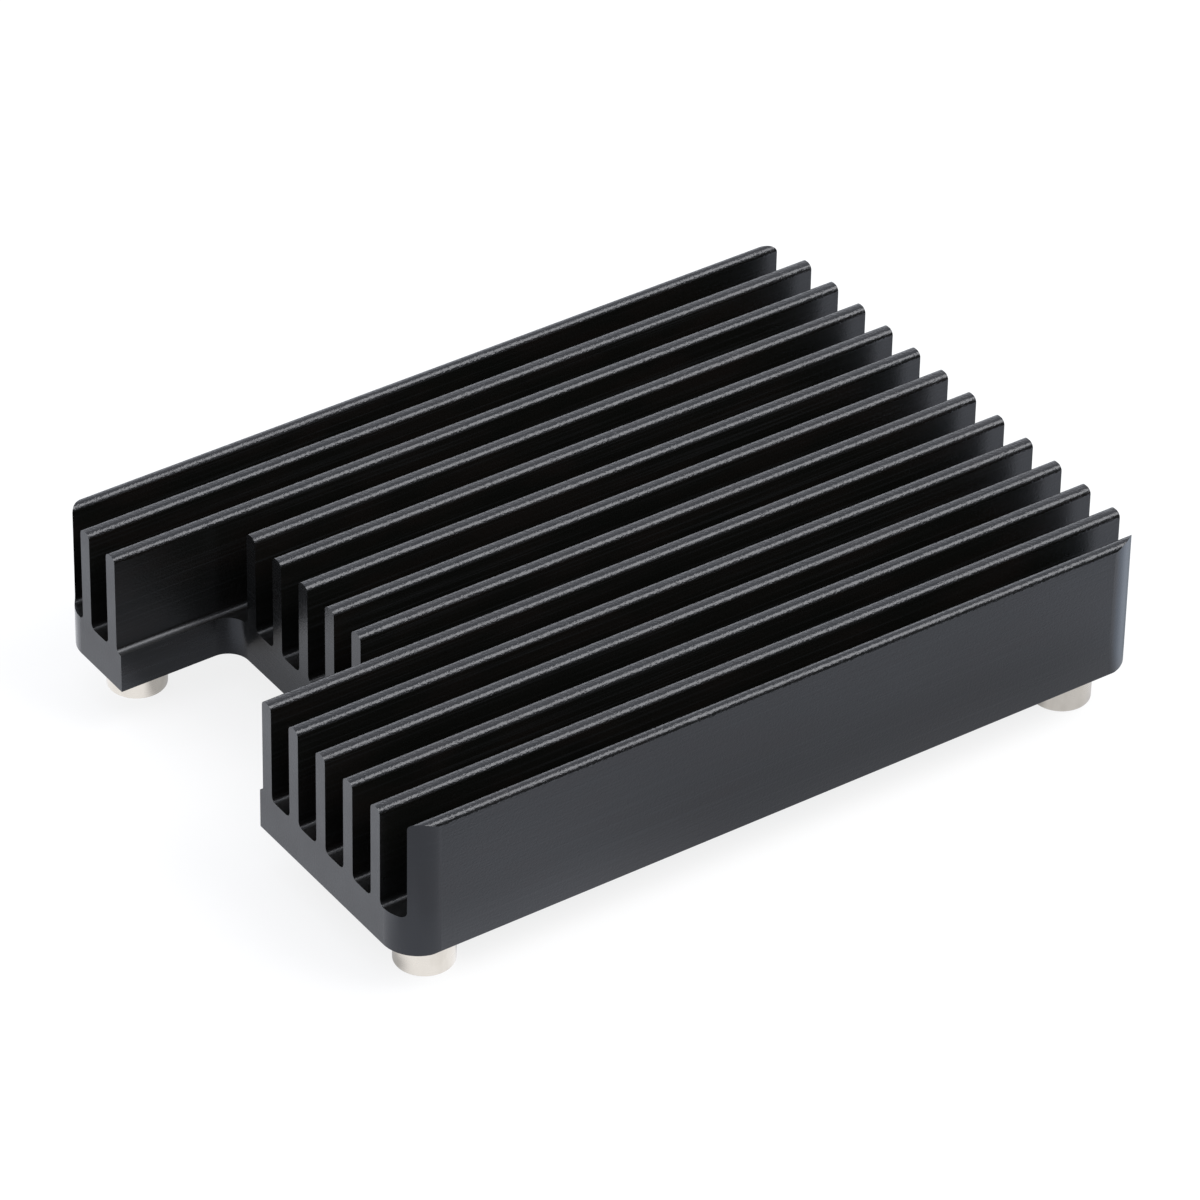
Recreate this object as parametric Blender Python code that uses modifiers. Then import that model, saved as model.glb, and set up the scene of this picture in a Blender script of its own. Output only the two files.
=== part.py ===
"""Finned aluminium heat sink for a small compute module, with four turned standoffs.

The body is one piece of extruded aluminium: a flat base carrying fourteen straight fins,
cut to length, rounded at its four corners and milled out at one end by a notch that leaves
room for an antenna. Four plated standoffs are set into the base from below.

Frame, in metres: the origin is on the surface that the standoffs stand on, under the middle
of the body. +X runs along the fins, away from the notch, and +Z is up.
"""

import math

import bmesh
import bpy
from mathutils import Matrix, Vector

MM = 0.001

# Extruded section
FIN_COUNT = 14
FIN_PITCH = 3.0 * MM
FIN_THICKNESS = 1.0 * MM
OUTER_FIN_THICKNESS = 0.85 * MM
FIN_HEIGHT = 7.1 * MM
FIN_TIP_RADIUS = 0.4 * MM
FIN_ROOT_FILLET = 0.4 * MM
BASE_THICKNESS = 2.8 * MM
BASE_EDGE_RADIUS = 0.1 * MM

# Outline in plan
BODY_LENGTH = 55.0 * MM
PLAN_CORNER_RADIUS = 2.5 * MM

# Antenna notch in the -X end, cut between two of the fins, counted from the -Y side
NOTCH_DEPTH = 8.35 * MM
NOTCH_CORNER_RADIUS = 1.5 * MM
RIGHT_LEDGE = 0.35 * MM
LEFT_LEDGE = 0.5 * MM
FIN_RIGHT_OF_NOTCH = 6
FIN_LEFT_OF_NOTCH = 12

# Standoffs: a collar that stands out below the base, and a thinner shank above it
COLLAR_DIAMETER = 3.9 * MM
STANDOFF_HEIGHT = 3.1 * MM
SHANK_DIAMETER = 2.4 * MM
TURNED_CHAMFER = 0.15 * MM
STANDOFF_INSET_X = 3.5 * MM
STANDOFF_INSET_Y = 3.35 * MM
BORE_DIAMETER = 2.05 * MM
BORE_END_WALL = 0.9 * MM
BORE_LEAD_IN = 0.25 * MM
DRILL_POINT_ANGLE = math.radians(118)

# Stepped sockets in the base: the metal left over each, and the depth of its wide mouth
SOCKET_ROOF = 0.9 * MM
SOCKET_MOUTH_DEPTH = 0.8 * MM
SOCKET_CLEARANCE = 0.3 * MM
SEAT_GAP = 0.3 * MM

# How far a cutter reaches past what it cuts
OVERCUT = 1.0 * MM

# Facets
TIP_STEPS = 5
FILLET_STEPS = 4
CORNER_STEPS = 12
NOTCH_STEPS = 10
TURNED_STEPS = 48
SHARP_ANGLE = math.radians(30)
MERGE_DISTANCE = 1e-7

# Derived sizes
BODY_WIDTH = (FIN_COUNT - 1) * FIN_PITCH - FIN_THICKNESS + 2 * OUTER_FIN_THICKNESS
UNDERSIDE_Z = STANDOFF_HEIGHT
FLOOR_Z = UNDERSIDE_Z + BASE_THICKNESS
FIN_TIP_Z = FLOOR_Z + FIN_HEIGHT
SOCKET_TOP_Z = FLOOR_Z - SOCKET_ROOF
SOCKET_STEP_Z = UNDERSIDE_Z + SOCKET_MOUTH_DEPTH


def clear_scene():
    """Remove every object and collection that the file opened with."""
    for obj in list(bpy.data.objects):
        bpy.data.objects.remove(obj, do_unlink=True)
    for collection in list(bpy.data.collections):
        bpy.data.collections.remove(collection)


def new_collection(name):
    collection = bpy.data.collections.new(name)
    bpy.context.scene.collection.children.link(collection)
    return collection


def new_material(name, colour, roughness, metallic):
    material = bpy.data.materials.new(name)
    material.use_nodes = True
    shader = material.node_tree.nodes["Principled BSDF"]
    shader.inputs["Base Color"].default_value = (*colour, 1.0)
    shader.inputs["Roughness"].default_value = roughness
    shader.inputs["Metallic"].default_value = metallic
    material.diffuse_color = (*colour, 1.0)
    return material


def arc(centre, radius, start, end, steps):
    """Points on an arc, from one angle in degrees to another, both ends included."""
    points = []
    for step in range(steps + 1):
        angle = math.radians(start + (end - start) * step / steps)
        points.append((centre[0] + radius * math.cos(angle), centre[1] + radius * math.sin(angle)))
    return points


def as_mesh(source, name, collection):
    """Replace a curve or a modified object by one closed mesh object of the same shape and place."""
    bpy.context.view_layer.update()
    evaluated = source.evaluated_get(bpy.context.evaluated_depsgraph_get())
    mesh = bpy.data.meshes.new_from_object(evaluated)
    mesh.name = name
    shape = bmesh.new()
    shape.from_mesh(mesh)
    bmesh.ops.remove_doubles(shape, verts=shape.verts, dist=MERGE_DISTANCE)
    bmesh.ops.recalc_face_normals(shape, faces=shape.faces)
    shape.to_mesh(mesh)
    shape.free()
    placement = source.matrix_world.copy()
    bpy.data.objects.remove(source, do_unlink=True)
    mesh_object = bpy.data.objects.new(name, mesh)
    mesh_object.matrix_world = placement
    collection.objects.link(mesh_object)
    return mesh_object


def extruded(name, outline, length, placement, collection):
    """A prism on a flat outline, reaching half its length to each side of the outline's plane."""
    curve = bpy.data.curves.new(name + "_outline", "CURVE")
    curve.dimensions = "2D"
    curve.fill_mode = "BOTH"
    curve.extrude = length / 2
    spline = curve.splines.new("POLY")
    spline.points.add(len(outline) - 1)
    for point, (u, v) in zip(spline.points, outline):
        point.co = (u, v, 0.0, 1.0)
    spline.use_cyclic_u = True
    curve_object = bpy.data.objects.new(name + "_outline", curve)
    curve_object.matrix_world = placement
    collection.objects.link(curve_object)
    return as_mesh(curve_object, name, collection)


def as_cutter(obj):
    obj.hide_render = True
    obj.display_type = "WIRE"
    return obj


def boolean(obj, cutter, operation):
    modifier = obj.modifiers.new(operation.lower() + "_" + cutter.name, "BOOLEAN")
    modifier.operation = operation
    modifier.solver = "EXACT"
    modifier.object = cutter


def fin_faces(index):
    """The -Y and +Y faces of a fin, in y. Fins are counted from zero at the -Y side."""
    centre = (index - (FIN_COUNT - 1) / 2) * FIN_PITCH
    low = centre - FIN_THICKNESS / 2
    high = centre + FIN_THICKNESS / 2
    if index == 0:
        low = high - OUTER_FIN_THICKNESS
    if index == FIN_COUNT - 1:
        high = low + OUTER_FIN_THICKNESS
    return low, high


def section_outline():
    """The extruded section in (y, z): the base's underside, then the comb of fins from +Y to -Y."""
    side = BODY_WIDTH / 2
    edge = BASE_EDGE_RADIUS
    root = min(FIN_ROOT_FILLET, (FIN_PITCH - FIN_THICKNESS) / 2)
    points = arc((-side + edge, UNDERSIDE_Z + edge), edge, 180, 270, FILLET_STEPS)
    points += arc((side - edge, UNDERSIDE_Z + edge), edge, 270, 360, FILLET_STEPS)
    for index in reversed(range(FIN_COUNT)):
        low, high = fin_faces(index)
        tip = min(FIN_TIP_RADIUS, (high - low) / 2)
        if index < FIN_COUNT - 1:
            points += arc((high + root, FLOOR_Z + root), root, 270, 180, FILLET_STEPS)
        points += arc((high - tip, FIN_TIP_Z - tip), tip, 0, 90, TIP_STEPS)
        points += arc((low + tip, FIN_TIP_Z - tip), tip, 90, 180, TIP_STEPS)
        if index > 0:
            points += arc((low - root, FLOOR_Z + root), root, 360, 270, FILLET_STEPS)
    return points


def plan_outline():
    """The body's outline from above in (x, y): a rectangle with four round corners."""
    radius = PLAN_CORNER_RADIUS
    x = BODY_LENGTH / 2 - radius
    y = BODY_WIDTH / 2 - radius
    corners = ((x, y, 0), (-x, y, 90), (-x, -y, 180), (x, -y, 270))
    points = []
    for centre_x, centre_y, start in corners:
        points += arc((centre_x, centre_y), radius, start, start + 90, CORNER_STEPS)
    return points


def notch_outline():
    """The notch from above in (x, y), open past the -X end, with its two inner corners round.

    Each wall leaves a ledge of the base beside the fin that runs past the notch on its side.
    """
    low = fin_faces(FIN_RIGHT_OF_NOTCH - 1)[1] + RIGHT_LEDGE
    high = fin_faces(FIN_LEFT_OF_NOTCH - 1)[0] - LEFT_LEDGE
    back = -BODY_LENGTH / 2 + NOTCH_DEPTH
    mouth = -BODY_LENGTH / 2 - OVERCUT
    radius = NOTCH_CORNER_RADIUS
    points = [(mouth, high), (mouth, low)]
    points += arc((back - radius, low + radius), radius, -90, 0, NOTCH_STEPS)
    points += arc((back - radius, high - radius), radius, 0, 90, NOTCH_STEPS)
    return points


def standoff_places():
    """Each standoff's name and its axis in (x, y). The front is the end with the notch."""
    x = BODY_LENGTH / 2 - STANDOFF_INSET_X
    y = BODY_WIDTH / 2 - STANDOFF_INSET_Y
    return {
        "standoff_front_right": (-x, -y),
        "standoff_front_left": (-x, y),
        "standoff_rear_right": (x, -y),
        "standoff_rear_left": (x, y),
    }


def turned(name, profile, collection):
    """A round solid on its own Z axis, from a half section in (r, z) that runs top to bottom."""
    mesh = bpy.data.meshes.new(name + "_profile")
    shape = bmesh.new()
    verts = [shape.verts.new((r, 0.0, z)) for r, z in profile]
    for upper, lower in zip(verts, verts[1:]):
        shape.edges.new((upper, lower))
    shape.to_mesh(mesh)
    shape.free()
    profile_object = bpy.data.objects.new(name + "_profile", mesh)
    collection.objects.link(profile_object)
    turn = profile_object.modifiers.new("turn", "SCREW")
    turn.axis = "Z"
    turn.angle = 2 * math.pi
    turn.steps = TURNED_STEPS
    turn.render_steps = TURNED_STEPS
    turn.use_merge_vertices = True
    turn.merge_threshold = MERGE_DISTANCE
    solid = as_mesh(profile_object, name, collection)
    solid.data.shade_smooth()
    solid.data.set_sharp_from_angle(angle=SHARP_ANGLE)
    return solid


def socket_profile():
    """Half of a socket's section: a hole for the shank, then a wide mouth for the collar."""
    shank_hole = SHANK_DIAMETER / 2 + SOCKET_CLEARANCE
    mouth = COLLAR_DIAMETER / 2 + SOCKET_CLEARANCE
    return [
        (0.0, SOCKET_TOP_Z),
        (shank_hole, SOCKET_TOP_Z),
        (shank_hole, SOCKET_STEP_Z),
        (mouth, SOCKET_STEP_Z),
        (mouth, UNDERSIDE_Z - OVERCUT),
        (0.0, UNDERSIDE_Z - OVERCUT),
    ]


def standoff_profile():
    """Half of a standoff's section: shank, collar, foot, and a drilled bore for a thread."""
    collar = COLLAR_DIAMETER / 2
    shank = SHANK_DIAMETER / 2
    bore = BORE_DIAMETER / 2
    edge = TURNED_CHAMFER
    top = SOCKET_TOP_Z - SEAT_GAP
    shoulder = SOCKET_STEP_Z - SEAT_GAP
    bore_end = top - BORE_END_WALL
    bore_wall_end = bore_end - bore / math.tan(DRILL_POINT_ANGLE / 2)
    return [
        (0.0, top),
        (shank - edge, top),
        (shank, top - edge),
        (shank, shoulder),
        (collar - edge, shoulder),
        (collar, shoulder - edge),
        (collar, edge),
        (collar - edge, 0.0),
        (bore + BORE_LEAD_IN, 0.0),
        (bore, BORE_LEAD_IN),
        (bore, bore_wall_end),
        (0.0, bore_end),
    ]


def make_body(parts, cutters, material):
    """The extrusion, trimmed to its outline in plan, notched, and bored for the standoffs."""
    # An outline drawn in (u, v) stands upright: u runs along Y, v along Z and its depth along X.
    upright = Matrix(((0, 0, 1, 0), (1, 0, 0, 0), (0, 1, 0, 0), (0, 0, 0, 1)))
    body = extruded("heat_sink_body", section_outline(), BODY_LENGTH + 2 * OVERCUT, upright, parts)
    level = Matrix.Translation(Vector((0, 0, (UNDERSIDE_Z + FIN_TIP_Z) / 2)))
    cutter_height = FIN_TIP_Z - UNDERSIDE_Z + 2 * OVERCUT
    plan = extruded("plan_cutter", plan_outline(), cutter_height, level, cutters)
    notch = extruded("notch_cutter", notch_outline(), cutter_height, level, cutters)
    boolean(body, as_cutter(plan), "INTERSECT")
    boolean(body, as_cutter(notch), "DIFFERENCE")
    for name, (x, y) in standoff_places().items():
        socket = turned(name.replace("standoff", "socket"), socket_profile(), cutters)
        socket.location = (x, y, 0.0)
        boolean(body, as_cutter(socket), "DIFFERENCE")
    body.data.materials.append(material)


def make_standoffs(parts, material):
    """Four turned standoffs, each clear of its socket in the base all round."""
    for name, (x, y) in standoff_places().items():
        standoff = turned(name, standoff_profile(), parts)
        standoff.location = (x, y, 0.0)
        standoff.data.materials.append(material)


def main():
    clear_scene()
    parts = new_collection("aluminium_heat_sink")
    cutters = new_collection("cutters")
    anodised = new_material("black_anodised_aluminium", (0.035, 0.037, 0.040), 0.42, 0.6)
    plated = new_material("nickel_plated_brass", (0.66, 0.64, 0.60), 0.32, 1.0)
    make_body(parts, cutters, anodised)
    make_standoffs(parts, plated)


main()
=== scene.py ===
"""Looks of the finned aluminium heat sink: black anodised body, nickel-plated standoffs, studio.

The body and the standoffs are dressed as fine surfaces in place of the plain solids. Their boxes
come from the frame, and the other sizes stand in the dataclasses below.
"""

from __future__ import annotations

import logging
import math
from dataclasses import dataclass
from enum import Enum

import bmesh
import bpy
import numpy as np
from mathutils import Matrix, Vector


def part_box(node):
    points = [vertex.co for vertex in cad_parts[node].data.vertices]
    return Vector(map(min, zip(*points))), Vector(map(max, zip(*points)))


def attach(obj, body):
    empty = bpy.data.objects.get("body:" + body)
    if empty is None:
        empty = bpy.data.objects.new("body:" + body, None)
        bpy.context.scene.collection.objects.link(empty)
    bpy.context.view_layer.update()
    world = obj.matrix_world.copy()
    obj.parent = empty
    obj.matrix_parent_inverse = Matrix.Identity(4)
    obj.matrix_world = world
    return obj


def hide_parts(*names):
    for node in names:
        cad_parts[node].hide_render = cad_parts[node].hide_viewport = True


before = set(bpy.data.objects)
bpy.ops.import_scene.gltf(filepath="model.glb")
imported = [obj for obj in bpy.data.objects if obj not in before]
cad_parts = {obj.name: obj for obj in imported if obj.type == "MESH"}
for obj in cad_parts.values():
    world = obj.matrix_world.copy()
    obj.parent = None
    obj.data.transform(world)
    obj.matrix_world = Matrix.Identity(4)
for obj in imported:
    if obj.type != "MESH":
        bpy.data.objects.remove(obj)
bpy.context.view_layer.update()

LOG = logging.getLogger("heat_sink")
MM = 0.001
Colour = tuple[float, float, float, float]
Triple = tuple[float, float, float]
Range = tuple[float, float]

# A Mix node has the same names for numbers, vectors and colours, so its colour sockets go by place
MIX_FIRST, MIX_SECOND, MIX_RESULT = 6, 7, 2

# The value that noise lies around, and the share that each finer layer of it has
NOISE_MIDDLE = 0.5
NOISE_ROUGHNESS = 0.55

# The scale of a grain that is alike along every axis, in spots for each metre
EVEN_GRAIN: Triple = (8000.0, 8000.0, 8000.0)

# Digits kept of a size from the frame, and of a place across the body, both in millimetres
SIZE_DIGITS, PLACE_DIGITS = 4, 7

# Places closer than this count as one: in millimetres in an outline, and in metres in a mesh
SAME_PLACE = 1e-6
WELD = 1e-8

# An edge that turns by more than this is shaded as a crease
CREASE = math.radians(40)


class Slot(Enum):
    """Material slots of the record, by name. The new pieces don't take their finish from them."""

    ANODISED = "anodised_aluminium"
    PLATED = "nickel_plate"


class Cut(Enum):
    """How a face of the body was made, which is also the index of its material on the mesh."""

    DRAWN = 0
    SAWN = 1
    ROUNDED = 2
    MILLED = 3
    CROWN = 4


class Value:
    """A shader socket that takes part in Python arithmetic by adding Math nodes."""

    def __init__(self, graph: Graph, socket: bpy.types.NodeSocket) -> None:
        """Wrap an output socket.

        Args:
            graph: The graph that the socket's node stands in.
            socket: The output socket.
        """
        self.graph = graph
        self.socket = socket

    def _with(self, operation: str, first: Value | float, second: Value | float) -> Value:
        """Add a Math node.

        Args:
            operation: The Math node's operation.
            first: Its first value.
            second: Its second value.

        Returns:
            The node's result.
        """
        return self.graph.node("ShaderNodeMath", {"operation": operation}, {0: first, 1: second})

    def __add__(self, other: Value | float) -> Value:
        """Self plus other."""
        return self._with("ADD", self, other)

    __radd__ = __add__

    def __sub__(self, other: Value | float) -> Value:
        """Self minus other."""
        return self._with("SUBTRACT", self, other)

    def __rsub__(self, other: float) -> Value:
        """Other minus self."""
        return self._with("SUBTRACT", other, self)

    def __mul__(self, other: Value | float) -> Value:
        """Self times other."""
        return self._with("MULTIPLY", self, other)

    __rmul__ = __mul__

    def clamped(self, low: float, high: float) -> Value:
        """Keep the value within limits.

        Args:
            low: The lowest value that passes.
            high: The highest value that passes.

        Returns:
            The clamped value.
        """
        return self._with("MINIMUM", self._with("MAXIMUM", self, low), high)

    def rising(self, start: float, end: float) -> Value:
        """A smooth step from 0 at start to 1 at end, or downwards where end is below start.

        Args:
            start: The value at which the step begins.
            end: The value at which the step is complete.

        Returns:
            The step, between 0 and 1.
        """
        values = {"Value": self, "From Min": start, "From Max": end, "To Min": 0.0, "To Max": 1.0}
        return self.graph.node("ShaderNodeMapRange", {"interpolation_type": "SMOOTHSTEP"}, values)

    def within(self, low: float, high: float, margin: float) -> Value:
        """A smooth plateau: 1 between two limits, and 0 from a margin outside them.

        Args:
            low: The lower limit.
            high: The upper limit.
            margin: The width of the slope outside each limit.

        Returns:
            The plateau, between 0 and 1.
        """
        return self.rising(low - margin, low) * self.rising(high + margin, high)


class Graph:
    """The node tree of a material or world, with one way to add a node."""

    def __init__(self, tree: bpy.types.NodeTree) -> None:
        """Empty a node tree and take it over.

        Args:
            tree: The tree to fill.
        """
        self.tree = tree
        tree.nodes.clear()

    def node(
        self,
        kind: str,
        settings: dict[str, object] | None = None,
        values: dict[str | int, object] | None = None,
        output: str | int = 0,
    ) -> Value:
        """Add a node, set it and fill its sockets.

        Args:
            kind: The node's type.
            settings: The node's own properties.
            values: What each input socket holds: a number, a colour, a vector or a Value.
            output: The output socket that is handed back.

        Returns:
            The chosen output.
        """
        made = self.tree.nodes.new(kind)
        for name, setting in (settings or {}).items():
            setattr(made, name, setting)
        for name, value in (values or {}).items():
            if isinstance(value, Value):
                self.tree.links.new(value.socket, made.inputs[name])
            else:
                made.inputs[name].default_value = value
        return Value(self, made.outputs[output] if len(made.outputs) else None)

    def object_coordinates(self) -> Value:
        """The place on the piece, in metres."""
        return self.node("ShaderNodeTexCoord", output="Object")

    def part(self, vector: Value, axis: str) -> Value:
        """One part of a vector.

        Args:
            vector: The vector.
            axis: X, Y or Z.

        Returns:
            The vector's part along that axis.
        """
        return self.node("ShaderNodeSeparateXYZ", None, {0: vector}, axis)

    def facing(self, way: Value, side: Triple) -> Value:
        """How far a direction points towards a side.

        Args:
            way: The direction.
            side: The side, as a vector of length 1.

        Returns:
            The cosine of the angle between them.
        """
        return self.node("ShaderNodeVectorMath", {"operation": "DOT_PRODUCT"}, {0: way, 1: side}, "Value")

    def noise(self, vector: Value, scale: Triple, detail: float) -> Value:
        """Noise that may be drawn out along an axis.

        Args:
            vector: The coordinates.
            scale: Spots in each metre along X, Y and Z.
            detail: How many finer layers are added.

        Returns:
            The noise, around its middle.
        """
        mapped = self.node("ShaderNodeMapping", None, {"Vector": vector, "Scale": scale})
        values = {"Vector": mapped, "Scale": 1.0, "Detail": detail, "Roughness": NOISE_ROUGHNESS}
        return self.node("ShaderNodeTexNoise", None, values, "Fac")

    def mix_colours(self, factor: Value, first: Value | Colour, second: Value | Colour) -> Value:
        """Mix two colours.

        Args:
            factor: The share of the second colour.
            first: The first colour.
            second: The second colour.

        Returns:
            The mixed colour.
        """
        values = {"Factor": factor, MIX_FIRST: first, MIX_SECOND: second}
        return self.node("ShaderNodeMix", {"data_type": "RGBA"}, values, MIX_RESULT)

    def bump(self, height: Value, depth: float, below: Value | None = None) -> Value:
        """Turn a height into a tilt of the surface.

        Args:
            height: The height, from 0 to 1.
            depth: How far a height of 1 stands out, in metres.
            below: Another bump's result that this one is laid over.

        Returns:
            The tilted normal.
        """
        values: dict[str | int, object] = {"Strength": 1.0, "Distance": depth, "Height": height}
        if below is not None:
            values["Normal"] = below
        return self.node("ShaderNodeBump", None, values)

    def surface(self, shader: Value) -> None:
        """Make a shader the material's surface.

        Args:
            shader: The shader.
        """
        self.node("ShaderNodeOutputMaterial", None, {"Surface": shader})


def new_material(name: str) -> tuple[bpy.types.Material, Graph]:
    """Make a material with no nodes yet.

    Args:
        name: The material's name.

    Returns:
        The material and its graph.
    """
    made = bpy.data.materials.new(name)
    made.use_nodes = True
    return made, Graph(made.node_tree)


@dataclass(frozen=True)
class AnodisedFinish:
    """Black anodised aluminium: a dark dyed skin with a clear, slightly rough surface.

    The skin turns warmer in clouds and paler along the die lines. Depths are in metres, and scales
    in spots for each metre.
    """

    colour: Colour = (0.0034, 0.0036, 0.0031, 1.0)
    warm_colour: Colour = (0.0052, 0.0043, 0.0037, 1.0)
    streak_colour: Colour = (0.0088, 0.0094, 0.0098, 1.0)
    sheen_tint: Colour = (0.85, 0.895, 1.0, 1.0)
    warm_range: Range = (0.38, 0.68)
    streak_range: Range = (0.50, 0.72)
    index: float = 1.50
    roughness: float = 0.31
    roughness_spread: float = 0.12
    roughness_limits: Range = (0.1, 0.8)
    line_share: float = 0.7
    cloud_share: float = 1.0
    grain_share: float = 0.5
    grain_scale: Triple = (6500.0, 9500.0, 9500.0)
    grain_depth: float = 0.010 * MM
    grain_detail: float = 2.0
    line_scale: Triple = (40.0, 6000.0, 6000.0)
    line_depth: float = 0.006 * MM
    line_detail: float = 2.0
    cloud_scale: Triple = (150.0, 420.0, 420.0)
    cloud_detail: float = 4.0

    def material(self, name: str) -> bpy.types.Material:
        """Make the material.

        Args:
            name: The material's name.

        Returns:
            The material.
        """
        made, graph = new_material(name)
        place = graph.object_coordinates()
        lines = graph.noise(place, self.line_scale, self.line_detail)
        grain = graph.noise(place, self.grain_scale, self.grain_detail)
        cloud = graph.noise(place, self.cloud_scale, self.cloud_detail)
        colour = graph.mix_colours(cloud.rising(*self.warm_range), self.colour, self.warm_colour)
        colour = graph.mix_colours(lines.rising(*self.streak_range), colour, self.streak_colour)
        line_part = (lines - NOISE_MIDDLE) * self.line_share
        cloud_part = (cloud - NOISE_MIDDLE) * self.cloud_share
        grain_part = (grain - NOISE_MIDDLE) * self.grain_share
        spread = (line_part + cloud_part + grain_part) * self.roughness_spread
        values = {
            "Base Color": colour,
            "Roughness": (spread + self.roughness).clamped(*self.roughness_limits),
            "IOR": self.index,
            "Specular Tint": self.sheen_tint,
            "Normal": graph.bump(grain, self.grain_depth, graph.bump(lines, self.line_depth)),
        }
        graph.surface(graph.node("ShaderNodeBsdfPrincipled", None, values))
        return made


@dataclass(frozen=True)
class PlatedFinish:
    """Satin nickel plate over a turned surface, with fine lines round the axis.

    The plate turns duller in clouds. Depths are in metres, and scales in spots for each metre.
    """

    colour: Colour = (0.65, 0.608, 0.54, 1.0)
    dull_colour: Colour = (0.58, 0.54, 0.475, 1.0)
    dull_range: Range = (0.45, 0.7)
    roughness: float = 0.29
    roughness_limits: Range = (0.1, 0.7)
    cloud_share: float = 0.12
    ring_share: float = 0.1
    ring_scale: Triple = (60.0, 60.0, 16000.0)
    ring_depth: float = 0.003 * MM
    ring_detail: float = 2.0
    cloud_scale: Triple = (700.0, 700.0, 400.0)
    cloud_detail: float = 3.0

    def material(self, name: str) -> bpy.types.Material:
        """Make the material.

        Args:
            name: The material's name.

        Returns:
            The material.
        """
        made, graph = new_material(name)
        place = graph.object_coordinates()
        rings = graph.noise(place, self.ring_scale, self.ring_detail)
        cloud = graph.noise(place, self.cloud_scale, self.cloud_detail)
        spread = (cloud - NOISE_MIDDLE) * self.cloud_share + (rings - NOISE_MIDDLE) * self.ring_share
        values = {
            "Base Color": graph.mix_colours(cloud.rising(*self.dull_range), self.colour, self.dull_colour),
            "Metallic": 1.0,
            "Roughness": (spread + self.roughness).clamped(*self.roughness_limits),
            "Normal": graph.bump(rings, self.ring_depth),
        }
        graph.surface(graph.node("ShaderNodeBsdfPrincipled", None, values))
        return made


class Patchwork:
    """A closed mesh put together from grids of points that meet along shared edges."""

    def __init__(self) -> None:
        """Start with no patches."""
        self.points: list[np.ndarray] = []
        self.faces: list[np.ndarray] = []
        self.cuts: list[np.ndarray] = []
        self.count = 0

    def add(self, grid: np.ndarray, cut: Cut | np.ndarray) -> None:
        """Add a patch. Its faces join each point of the grid to its neighbours.

        Args:
            grid: Places in millimetres, as an array of rows by columns by 3.
            cut: How the patch's surface was made, or the number of that for each column of faces.
        """
        rows, columns = grid.shape[:2]
        number = cut.value if isinstance(cut, Cut) else cut
        index = self.count + np.arange(rows * columns).reshape(rows, columns)
        quads = np.stack([index[:-1, :-1], index[:-1, 1:], index[1:, 1:], index[1:, :-1]], axis=-1)
        self.points.append(grid.reshape(-1, 3))
        self.faces.append(quads.reshape(-1, 4))
        self.cuts.append(np.broadcast_to(number, (rows - 1, columns - 1)).reshape(-1))
        self.count += rows * columns

    def mesh(self, name: str) -> bpy.types.Mesh:
        """Weld the patches into one closed mesh in metres, with its faces pointing out.

        Sawn faces are flat and the others are shaded smooth, with a crease at every sharp edge
        and round the ends.

        Args:
            name: The mesh's name.

        Returns:
            The mesh.
        """
        made = bpy.data.meshes.new(name)
        points = np.concatenate(self.points) * MM
        faces = np.concatenate(self.faces)
        made.from_pydata(points.tolist(), [], faces.tolist())
        made.polygons.foreach_set("material_index", np.concatenate(self.cuts).astype(np.int32))
        shape = bmesh.new()
        shape.from_mesh(made)
        bmesh.ops.remove_doubles(shape, verts=shape.verts, dist=WELD)
        bmesh.ops.dissolve_degenerate(shape, edges=shape.edges, dist=WELD)
        bmesh.ops.recalc_face_normals(shape, faces=shape.faces)
        open_edges = sum(1 for edge in shape.edges if not edge.is_manifold)
        LOG.info("%s: %d faces, %d open edges", name, len(shape.faces), open_edges)
        for face in shape.faces:
            face.smooth = face.material_index != Cut.SAWN.value
        ends = (Cut.SAWN.value, Cut.ROUNDED.value, Cut.MILLED.value)
        for edge in shape.edges:
            kinds = {face.material_index in ends for face in edge.link_faces}
            edge.smooth = len(kinds) == 1 and edge.calc_face_angle(0.0) < CREASE
        shape.to_mesh(made)
        shape.free()
        return made


def new_piece(name: str, mesh: bpy.types.Mesh, materials: list[bpy.types.Material]) -> bpy.types.Object:
    """Make a mesh into an object of the scene, at the origin.

    Args:
        name: The piece's name.
        mesh: Its mesh, already in place.
        materials: Its materials, in the order of their indices.

    Returns:
        The object.
    """
    piece = bpy.data.objects.new(name, mesh)
    bpy.context.scene.collection.objects.link(piece)
    for material in materials:
        mesh.materials.append(material)
    return piece


def round_drop(distance: np.ndarray | float, radius: float) -> np.ndarray:
    """How far a quarter-round edge falls short: r - sqrt(r^2 - (r - d)^2), and nothing past it.

    Args:
        distance: Distance from the edge's outer line.
        radius: The edge's radius.

    Returns:
        The drop at each distance, from the radius at 0 to nothing at the radius.
    """
    inside = np.clip(radius - distance, 0.0, radius)
    return radius - np.sqrt(np.maximum(radius**2 - inside**2, 0.0))


def round_steps(radius: float, steps: int) -> np.ndarray:
    """Distances from an edge's outer line that are evenly spread in angle: r - r cos(a).

    Args:
        radius: The edge's radius.
        steps: The number of steps in the quarter round.

    Returns:
        The distances, from 0 to the radius.
    """
    return radius * (1.0 - np.cos(np.linspace(0.0, math.pi / 2, steps + 1)))


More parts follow.
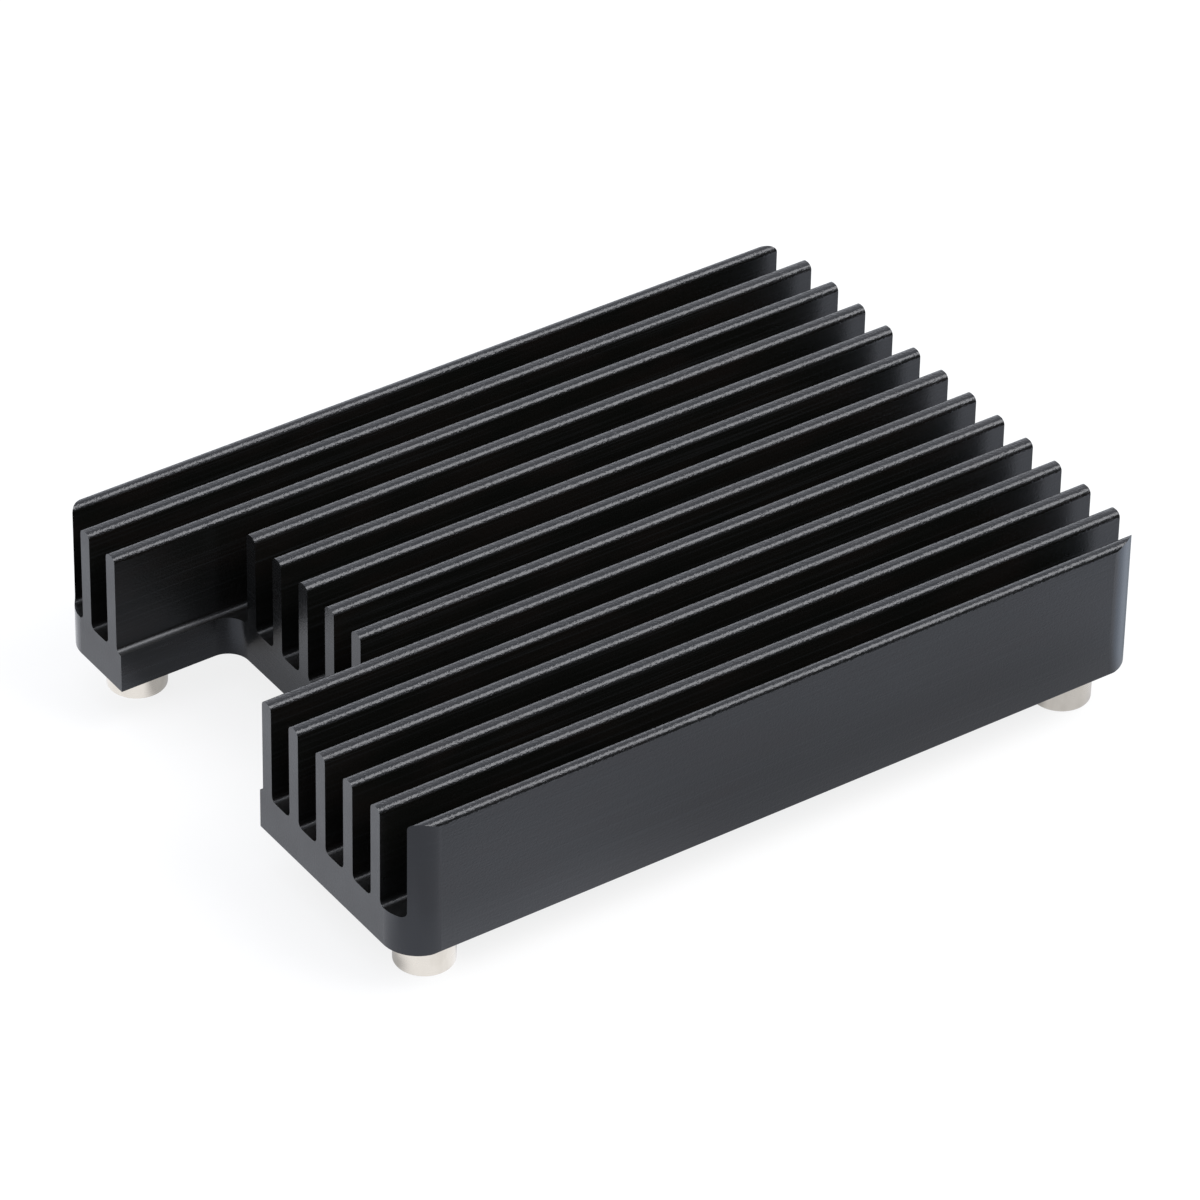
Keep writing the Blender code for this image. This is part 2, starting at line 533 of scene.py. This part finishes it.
@dataclass
class HeatSinkBody:
    """The extruded body. Lengths are in millimetres, and its box comes from the frame.

    A name that ends in steps is the number of faces that the quarter round of that name has.
    """

    node: str = "heat_sink_body"
    fin_count: int = 14
    fin_pitch: float = 3.0
    fin_thickness: float = 1.0
    outer_fin_thickness: float = 0.85
    tip_radius: float = 0.4
    tip_steps: int = 8
    root_fillet: float = 0.4
    root_steps: int = 4
    base_thickness: float = 2.8
    base_edge_radius: float = 0.1
    base_edge_steps: int = 5
    corner_radius: float = 2.5
    corner_steps: int = 16
    notch_depth: float = 8.35
    notch_radius: float = 1.5
    notch_steps: int = 14
    right_ledge: float = 0.35
    left_ledge: float = 0.5
    fin_right_of_notch: int = 6
    fin_left_of_notch: int = 12
    drawn: AnodisedFinish = AnodisedFinish()
    sawn: AnodisedFinish = AnodisedFinish(
        roughness=0.34,
        grain_scale=EVEN_GRAIN,
        grain_depth=0.013 * MM,
        line_depth=0.0,
    )
    rounded: AnodisedFinish = AnodisedFinish(
        roughness=0.22,
        grain_scale=EVEN_GRAIN,
        grain_depth=0.006 * MM,
        line_scale=(300.0, 300.0, 9000.0),
        line_depth=0.002 * MM,
    )
    milled: AnodisedFinish = AnodisedFinish(
        roughness=0.26,
        index=1.42,
        grain_scale=EVEN_GRAIN,
        grain_depth=0.008 * MM,
        line_scale=(300.0, 300.0, 6000.0),
        line_depth=0.002 * MM,
    )
    crown: AnodisedFinish = AnodisedFinish(
        roughness=0.23,
        grain_scale=(6800.0, 8500.0, 8500.0),
        grain_depth=0.026 * MM,
        grain_detail=1.0,
        line_depth=0.0,
    )

    def __post_init__(self) -> None:
        """Take the box from the frame, and work out what follows from the sizes."""
        low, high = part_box(self.node)
        self.end = round(high.x / MM, SIZE_DIGITS)
        self.side = round(high.y / MM, SIZE_DIGITS)
        self.underside = round(low.z / MM, SIZE_DIGITS)
        self.tip = round(high.z / MM, SIZE_DIGITS)
        self.floor = self.underside + self.base_thickness
        self.junction = self.floor + self.root_fillet
        centre = (np.arange(self.fin_count) - (self.fin_count - 1) / 2) * self.fin_pitch
        self.fin_low = centre - self.fin_thickness / 2
        self.fin_high = centre + self.fin_thickness / 2
        self.fin_low[0] = self.fin_high[0] - self.outer_fin_thickness
        self.fin_high[-1] = self.fin_low[-1] + self.outer_fin_thickness
        self.wall_right = self.fin_high[self.fin_right_of_notch - 1] + self.right_ledge
        self.wall_left = self.fin_low[self.fin_left_of_notch - 1] - self.left_ledge
        self.notch_back = -self.end + self.notch_depth
        self.wall_end = self.notch_back - self.notch_radius
        self.all_stations = self.stations()

    def stations(self) -> np.ndarray:
        """Every place across the body where its section or its outline has a point.

        Returns:
            The places in y, sorted, each once.
        """
        tip = round_steps(self.tip_radius, self.tip_steps)
        root = round_steps(self.root_fillet, self.root_steps)
        corner = self.side - round_steps(self.corner_radius, self.corner_steps)
        edge = self.side - round_steps(self.base_edge_radius, self.base_edge_steps)
        notch = round_steps(self.notch_radius, self.notch_steps)
        parts = [corner, -corner, edge, -edge, self.wall_right + notch, self.wall_left - notch]
        for low, high in zip(self.fin_low, self.fin_high):
            parts += [low + tip, high - tip]
        for high, low in zip(self.fin_high[:-1], self.fin_low[1:]):
            parts += [high + root, low - root]
        return np.unique(np.round(np.concatenate(parts), PLACE_DIGITS))

    def rear(self, y: np.ndarray) -> np.ndarray:
        """The rear end's outline in plan: flat, with a quarter round at each side.

        Args:
            y: Places across the body.

        Returns:
            The outline's x at each.
        """
        return self.end - round_drop(self.side - np.abs(y), self.corner_radius)

    def notch(self, y: np.ndarray) -> np.ndarray:
        """The back of the notch in plan: flat, with a quarter round at each of its walls.

        Args:
            y: Places between the notch's walls.

        Returns:
            The outline's x at each.
        """
        to_wall = np.minimum(y - self.wall_right, self.wall_left - y)
        return self.notch_back - round_drop(to_wall, self.notch_radius)

    def bottom(self, y: np.ndarray | float) -> np.ndarray:
        """The underside in section: flat, with a small quarter round along each side.

        Args:
            y: Places across the body.

        Returns:
            The underside's z at each.
        """
        return self.underside + round_drop(self.side - np.abs(y), self.base_edge_radius)

    def groove(self, y: np.ndarray, low: float, high: float) -> np.ndarray:
        """A groove's floor in section: flat, with a fillet up to the fin on each side.

        Args:
            y: Places within the groove.
            low: The fin's face at the groove's -Y side.
            high: The fin's face at its +Y side.

        Returns:
            The floor's z at each.
        """
        return self.floor + round_drop(np.minimum(y - low, high - y), self.root_fillet)

    def fin_top(self, y: np.ndarray, low: float, high: float) -> np.ndarray:
        """A fin's top in section: flat, with a quarter round down to each face.

        Args:
            y: Places across the fin.
            low: The fin's -Y face.
            high: The fin's +Y face.

        Returns:
            The top's z at each.
        """
        return self.tip - round_drop(np.minimum(y - low, high - y), self.tip_radius)

    def between(self, low: float, high: float) -> np.ndarray:
        """The stations from one place across the body to another, both included.

        Args:
            low: The lowest place.
            high: The highest place.

        Returns:
            The stations.
        """
        y = self.all_stations
        return y[(y > low - SAME_PLACE) & (y < high + SAME_PLACE)]

    def thirds(self, y: np.ndarray) -> tuple[np.ndarray, np.ndarray, np.ndarray]:
        """Which places lie right of the notch, across it and left of it, with its walls in both.

        Args:
            y: Places across the body.

        Returns:
            The three masks, in the order of rising y.
        """
        right = y < self.wall_right + SAME_PLACE
        middle = (y > self.wall_right - SAME_PLACE) & (y < self.wall_left + SAME_PLACE)
        left = y > self.wall_left - SAME_PLACE
        return right, middle, left

    def section(self) -> np.ndarray:
        """The comb from the -Y side's foot over every fin to the +Y side's foot.

        Returns:
            The comb's points, as (y, z).
        """
        parts = [np.array([[-self.side, self.bottom(self.side)]])]
        for index, (low, high) in enumerate(zip(self.fin_low, self.fin_high)):
            y = self.between(low, high)
            parts.append(np.array([[low, self.junction]]))
            parts.append(np.stack([y, self.fin_top(y, low, high)], axis=1))
            parts.append(np.array([[high, self.junction]]))
            if index < self.fin_count - 1:
                following = self.fin_low[index + 1]
                y = self.between(high, following)[1:-1]
                parts.append(np.stack([y, self.groove(y, high, following)], axis=1))
        parts.append(np.array([[self.side, self.bottom(self.side)]]))
        return np.concatenate(parts)

    def band_top(self, y: np.ndarray) -> np.ndarray:
        """The upper line of the base at the ends: groove floors, and a level line under each fin.

        Args:
            y: Places across the body.

        Returns:
            The line's z at each.
        """
        z = np.full(len(y), self.junction)
        for high, low in zip(self.fin_high[:-1], self.fin_low[1:]):
            inside = (y > high) & (y < low)
            z[inside] = self.groove(y[inside], high, low)
        return z

    def lengthwise(self, work: Patchwork, line: np.ndarray) -> None:
        """Carry a line of the section along the body, between its outlines in plan.

        A point (y, z) of the line becomes the row of points (x, y, z), with x on the front outline
        and on the rear outline. Beside the notch a third point keeps the notch wall's end.

        Args:
            work: The patchwork that the surface goes into.
            line: The line, as (y, z), with y never falling.
        """
        right, middle, left = (line[third] for third in self.thirds(line[:, 0]))
        for part in (right, left):
            rear = self.rear(part[:, 0])
            xs = np.stack([-rear, np.full(len(part), self.wall_end), rear])
            work.add(self._rows(xs, part), self.along(part))
        xs = np.stack([self.notch(middle[:, 0]), self.rear(middle[:, 0])])
        work.add(self._rows(xs, middle), self.along(middle))

    def along(self, line: np.ndarray) -> np.ndarray:
        """The cut of each strip of the section: crown on the fins' tops and drawn elsewhere.

        Args:
            line: The line's points, as (y, z).

        Returns:
            The number of the cut between each point and the next.
        """
        middle = (line[:-1, 1] + line[1:, 1]) / 2
        return np.where(middle > self.tip - self.tip_radius, Cut.CROWN.value, Cut.DRAWN.value)

    @staticmethod
    def _rows(xs: np.ndarray, line: np.ndarray) -> np.ndarray:
        """Put the points of a line at several x.

        Args:
            xs: The x of each point in each row.
            line: The line's points, as (y, z).

        Returns:
            The grid of points, rows by columns by 3.
        """
        grid = np.empty((*xs.shape, 3))
        grid[..., 0] = xs
        grid[..., 1:] = line
        return grid

    def upright(
        self, work: Patchwork, x: np.ndarray, y: np.ndarray, low: np.ndarray, high: np.ndarray
    ) -> None:
        """Raise a wall on a line in plan: (x, y, z), with z from its foot to its top.

        The wall is sawn at the two ends, rounded in the corners and milled inside the notch.

        Args:
            work: The patchwork that the wall goes into.
            x: The line's x.
            y: The line's y.
            low: The wall's foot at each point.
            high: The wall's top at each point.
        """
        foot = np.stack([x, y, low], axis=-1)
        top = np.stack([x, y, high], axis=-1)
        mid_x, mid_y = (x[:-1] + x[1:]) / 2, (y[:-1] + y[1:]) / 2
        cut = np.where(np.abs(mid_x) > self.end - SAME_PLACE, Cut.SAWN.value, Cut.MILLED.value)
        cut = np.where(np.abs(mid_y) > self.side - self.corner_radius, Cut.ROUNDED.value, cut)
        work.add(np.stack([foot, top]), cut)

    def ends(self, work: Patchwork) -> None:
        """Close both ends: walls that follow the outline in plan, up to the section's line.

        Args:
            work: The patchwork that the walls go into.
        """
        y = self.all_stations
        low, high, rear = self.bottom(y), self.band_top(y), self.rear(y)
        self.upright(work, rear, y, low, high)
        right, middle, left = self.thirds(y)
        for third, front in ((right, -rear), (left, -rear), (middle, self.notch(y))):
            self.upright(work, front[third], y[third], low[third], high[third])
        for fin_low, fin_high in zip(self.fin_low, self.fin_high):
            across = self.between(fin_low, fin_high)
            foot = np.full(len(across), self.junction)
            top = self.fin_top(across, fin_low, fin_high)
            in_notch = self.wall_right < fin_low < self.wall_left
            front = self.notch(across) if in_notch else -self.rear(across)
            self.upright(work, front, across, foot, top)
            self.upright(work, self.rear(across), across, foot, top)
        for wall in (self.wall_right, self.wall_left):
            wall_x = np.array([-self.end, self.wall_end])
            wall_y = np.full(len(wall_x), wall)
            self.upright(work, wall_x, wall_y, self.bottom(wall_y), self.band_top(wall_y))

    def build(self) -> bpy.types.Object:
        """Make the body and dress it.

        Returns:
            The body's object.
        """
        work = Patchwork()
        self.lengthwise(work, self.section())
        y = self.all_stations
        self.lengthwise(work, np.stack([y, self.bottom(y)], axis=1))
        self.ends(work)
        materials = [
            self.drawn.material("anodised_drawn"),
            self.sawn.material("anodised_sawn_end"),
            self.rounded.material("anodised_rounded_corner"),
            self.milled.material("anodised_milled_notch"),
            self.crown.material("anodised_fin_crown"),
        ]
        piece = new_piece("body_dressed", work.mesh("body_dressed"), materials)
        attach(piece, "root")
        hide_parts(self.node)
        return piece


@dataclass
class Standoff:
    """A turned and tapped standoff under one corner. Lengths are in millimetres."""

    node: str
    foot_radius: float = 0.15
    foot_steps: int = 4
    set_in: float = 1.0
    bore_radius: float = 1.14
    bore_length: float = 3.0
    lead_in: float = 0.2
    mouth_margin: float = 0.1
    drill_height: float = 0.6
    thread_depth: float = 0.13
    thread_pitch: float = 0.45
    thread_points: int = 56
    segments: int = 96

    def profile(self, radius: float, underside: float) -> np.ndarray:
        """The half section from the hidden top, down the outside, and up the bore, as (r, z, thread).

        The foot's edge is round, with its points at (R - a + a cos t, a - a sin t). The last number
        is the share of the thread's depth that a point takes.

        Args:
            radius: The standoff's outer radius.
            underside: The height of the base's underside.

        Returns:
            The profile's points.
        """
        top = underside + self.set_in
        turn = np.linspace(0.0, math.pi / 2, self.foot_steps + 1)
        foot_r = radius - self.foot_radius * (1.0 - np.cos(turn))
        foot_z = self.foot_radius * (1.0 - np.sin(turn))
        foot = np.stack([foot_r, foot_z, np.zeros_like(turn)], axis=1)
        rise = np.linspace(self.lead_in, self.bore_length, self.thread_points)
        run_in = np.clip((rise - self.lead_in) / self.thread_pitch, 0.0, 1.0)
        thread = np.stack([np.full(len(rise), self.bore_radius), rise, run_in], axis=1)
        plain = np.array([[0.0, top, 0.0], [radius, top, 0.0], [radius, top / 2, 0.0]])
        mouth = np.array([[self.bore_radius + self.lead_in + self.mouth_margin, 0.0, 0.0]])
        end = np.array([[0.0, self.bore_length + self.drill_height, 0.0]])
        return np.concatenate([plain, foot, mouth, thread, end])

    def build(self, material: bpy.types.Material) -> bpy.types.Object:
        """Make the standoff and dress it.

        Each point is (r cos u, r sin u, z) about the axis, and in the bore r falls and rises as a
        triangle wave of z / pitch - u / (2 pi), which is a helix.

        Args:
            material: The plated finish.

        Returns:
            The standoff's object.
        """
        low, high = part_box(self.node)
        axis_x, axis_y = (low.x + high.x) / 2 / MM, (low.y + high.y) / 2 / MM
        radius = (high.x - low.x) / 2 / MM
        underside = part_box("heat_sink_body")[0].z / MM
        profile = self.profile(radius, underside)
        turn = np.linspace(0.0, 2 * math.pi, self.segments + 1)
        r, z, share = profile.T[..., None]
        phase = z / self.thread_pitch - turn / (2 * math.pi)
        wave = 1.0 - np.abs(2.0 * (phase - np.floor(phase)) - 1.0)
        radii = r - self.thread_depth * share * wave
        grid = np.empty((len(profile), len(turn), 3))
        grid[..., 0] = axis_x + radii * np.cos(turn)
        grid[..., 1] = axis_y + radii * np.sin(turn)
        grid[..., 2] = z
        work = Patchwork()
        work.add(grid, Cut.DRAWN)
        name = self.node + "_dressed"
        piece = new_piece(name, work.mesh(name), [material])
        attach(piece, "root")
        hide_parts(self.node)
        return piece


@dataclass(frozen=True)
class FloorPatch:
    """A region of the floor with soft borders, in metres."""

    x_range: Range
    y_range: Range
    x_margin: float
    y_margin: float

    def cover(self, x: Value, y: Value) -> Value:
        """How far places lie in the region: a plateau along X times a plateau along Y.

        Args:
            x: The places' x.
            y: The places' y.

        Returns:
            The cover, between 0 and 1.
        """
        return x.within(*self.x_range, self.x_margin) * y.within(*self.y_range, self.y_margin)


@dataclass
class Studio:
    """White floor, one large soft light and a plain sky. Lengths are in metres.

    The ranges of the sky's parts are sines of their height and cosines of the turn from their side.
    """

    floor_size: float = 6.0
    floor_drop: float = 0.00002
    floor_colour: Colour = (0.170, 0.175, 0.183, 1.0)
    floor_glow: float = 0.82
    rim: FloorPatch = FloorPatch((-0.0325, 0.0285), (-0.025, 0.025), 0.0035, 0.0035)
    # Patches of painted shade on the floor, seen only in gloss, standing in for the body's shadow
    soft: FloorPatch = FloorPatch((0.002, 0.022), (-0.020, 0.020), 0.018, 0.022)
    deep: FloorPatch = FloorPatch((-0.0235, 0.0265), (-0.0164, 0.0172), 0.0015, 0.0012)
    mouth: FloorPatch = FloorPatch((-0.0262, -0.0170), (-0.0160, 0.0055), 0.0015, 0.002)
    rim_strength: float = 1.30
    soft_shade: float = 0.38
    deep_shade: float = 0.58
    softbox_way: Triple = (0.46, -0.45, 0.77)
    softbox_distance: float = 0.60
    softbox_size: float = 0.37
    softbox_power: float = 2.8
    softbox_colour: Triple = (1.0, 0.955, 0.88)
    air_colour: Colour = (0.965, 0.98, 1.03, 1.0)
    side_colour: Colour = (0.87, 0.965, 1.11, 1.0)
    side_heights: Range = (0.15, -0.15)
    sheet_strength: float = 1.57
    sheet_heights: Range = (-0.25, -0.45)
    sky_strength: float = 1.10
    sky_heights: Range = (0.15, 0.50)
    gap_strength: float = 0.07
    wall_strength: float = 1.60
    wall_side: Triple = (0.46, 0.888, 0.0)
    wall_range: Range = (0.75, 0.92)
    wall_heights: Range = (-0.05, 0.38)
    wall_margin: float = 0.12
    dark_share: float = 0.38
    dark_side: Triple = (-0.50, -0.866, 0.0)
    dark_range: Range = (0.12, 0.55)
    bright_share: float = 0.02
    bright_side: Triple = (0.819, 0.574, 0.0)
    bright_range: Range = (0.16, 0.36)
    fade_share: float = 0.74
    fade_range: Range = (-0.15, 0.45)

    def mirror(self, graph: Graph) -> Value:
        """What gloss sees of the floor: the sheet below it, with an even rim round the body.

        Three patches carry painted shade, a dim glow that stands in for the body's shadow: a soft one,
        which reaches out past the long side and dims it, and two deep ones, under the middle and before
        the notch, which the notch's walls mirror.

        Args:
            graph: The floor's graph.

        Returns:
            The shader.
        """
        place = graph.object_coordinates()
        x, y = graph.part(place, "X"), graph.part(place, "Y")
        soft = self.soft.cover(x, y) * self.soft_shade
        deep = self.deep.cover(x, y) * self.deep_shade
        mouth = self.mouth.cover(x, y) * self.deep_shade
        light = (1.0 - soft) * (1.0 - deep) * (1.0 - mouth)
        clear = graph.node("ShaderNodeBsdfTransparent")
        rim_values = {"Color": self.air_colour, "Strength": self.rim_strength}
        even = graph.node("ShaderNodeEmission", None, rim_values)
        lit = graph.node("ShaderNodeMixShader", None, {0: self.rim.cover(x, y), 1: clear, 2: even})
        # The painted shade: a dim glow that the shaded patches show in place of the body's shadow
        dark = graph.node("ShaderNodeEmission", None, {"Strength": self.gap_strength})
        return graph.node("ShaderNodeMixShader", None, {0: light, 1: dark, 2: lit})

    def floor(self) -> None:
        """Lay the floor: white to the camera, with the object's shadow on it."""
        half = self.floor_size / 2
        points = [(-half, -half), (half, -half), (half, half), (-half, half)]
        mesh = bpy.data.meshes.new("floor")
        mesh.from_pydata([(x, y, -self.floor_drop) for x, y in points], [], [(0, 1, 2, 3)])
        material, graph = new_material("floor_white")
        seen = graph.node("ShaderNodeLightPath", output="Is Camera Ray")
        mirrored = graph.node("ShaderNodeLightPath", output="Is Glossy Ray")
        matt = graph.node("ShaderNodeBsdfDiffuse", None, {"Color": self.floor_colour})
        glow = graph.node("ShaderNodeEmission", None, {"Strength": seen * self.floor_glow})
        both = graph.node("ShaderNodeAddShader", None, {0: matt, 1: glow})
        values = {0: mirrored, 1: both, 2: self.mirror(graph)}
        graph.surface(graph.node("ShaderNodeMixShader", None, values))
        new_piece("floor", mesh, [material])

    def softbox(self) -> None:
        """Hang the soft light, facing the object."""
        lamp = bpy.data.lights.new("softbox", "AREA")
        lamp.shape = "SQUARE"
        lamp.size = self.softbox_size
        lamp.energy = self.softbox_power
        lamp.color = self.softbox_colour
        holder = bpy.data.objects.new("softbox", lamp)
        way = Vector(self.softbox_way).normalized()
        holder.location = way * self.softbox_distance
        holder.rotation_euler = way.to_track_quat("Z", "Y").to_euler()
        bpy.context.scene.collection.objects.link(holder)

    def sky(self) -> None:
        """Set the world: a sheet below and a sky above, with a dark gap between them at the horizon.

        The sheet is dim towards the dark side. Towards the bright side it is tinted, and fades where
        that side turns to the back. A wall closes part of the gap behind the object.
        """
        world = bpy.data.worlds.new("studio")
        world.use_nodes = True
        bpy.context.scene.world = world
        graph = Graph(world.node_tree)
        way = graph.node("ShaderNodeTexCoord", output="Generated")
        height = graph.part(way, "Z")
        dim = graph.facing(way, self.dark_side).rising(*self.dark_range) * self.dark_share
        far = graph.part(way, "Y").rising(*self.fade_range)
        beside = graph.facing(way, self.bright_side).rising(*self.bright_range)
        lift = beside * (self.bright_share - far * (self.bright_share + self.fade_share))
        below = height.rising(*self.sheet_heights) * (1.0 - dim + lift)
        above = height.rising(*self.sky_heights)
        level = height.within(*self.wall_heights, self.wall_margin)
        wall = graph.facing(way, self.wall_side).rising(*self.wall_range) * level
        strength = below * self.sheet_strength + above * self.sky_strength + wall * self.wall_strength
        tint = beside * height.rising(*self.side_heights)
        values = {
            "Color": graph.mix_colours(tint, self.air_colour, self.side_colour),
            "Strength": strength + self.gap_strength,
        }
        back = graph.node("ShaderNodeBackground", None, values)
        graph.node("ShaderNodeOutputWorld", None, {"Surface": back})

    def build(self) -> None:
        """Set up floor, light and sky."""
        self.floor()
        self.softbox()
        self.sky()


@dataclass
class PhotoCamera:
    """The photograph's viewpoint: a long lens above the near left corner.

    Angles are in degrees, the lens and the sensor in millimetres, and the places in metres.
    """

    azimuth: float = -34.997
    elevation: float = 36.378
    roll: float = 1.085
    distance: float = 476.34 * MM
    target: Triple = (0.639 * MM, 0.956 * MM, 6.0 * MM)
    lens: float = 227.64
    sensor: float = 36.0
    nearest: float = 0.01
    farthest: float = 20.0

    def build(self) -> None:
        """Place the camera and make it the scene's own."""
        side, rise, lean = (math.radians(a) for a in (self.azimuth, self.elevation, self.roll))
        back = Vector((math.sin(side) * math.cos(rise), -math.cos(side) * math.cos(rise), math.sin(rise)))
        level = Vector((0.0, 0.0, 1.0)).cross(back).normalized()
        straight = back.cross(level)
        right = level * math.cos(lean) + straight * math.sin(lean)
        up = back.cross(right)
        lens = bpy.data.cameras.new("photo_camera")
        lens.lens = self.lens
        lens.sensor_width = self.sensor
        lens.clip_start = self.nearest
        lens.clip_end = self.farthest
        camera = bpy.data.objects.new("photo_camera", lens)
        turned = Matrix((right, up, back)).transposed().to_4x4()
        camera.matrix_world = Matrix.Translation(Vector(self.target) + back * self.distance) @ turned
        bpy.context.scene.collection.objects.link(camera)
        bpy.context.scene.camera = camera


def main() -> None:
    """Build and dress every piece, then set up the studio and the camera."""
    logging.basicConfig(level=logging.INFO, format="%(name)s: %(message)s")
    bpy.context.scene.view_settings.view_transform = "Standard"
    PhotoCamera().build()
    body = HeatSinkBody().build()
    LOG.info("%s stands for the body", body.name)
    plated = PlatedFinish().material("nickel_plate_satin")
    for node in sorted(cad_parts):
        if node.startswith("standoff"):
            piece = Standoff(node=node).build(plated)
            LOG.info("%s stands for %s", piece.name, node)
    Studio().build()


if __name__ == "__main__":
    main()
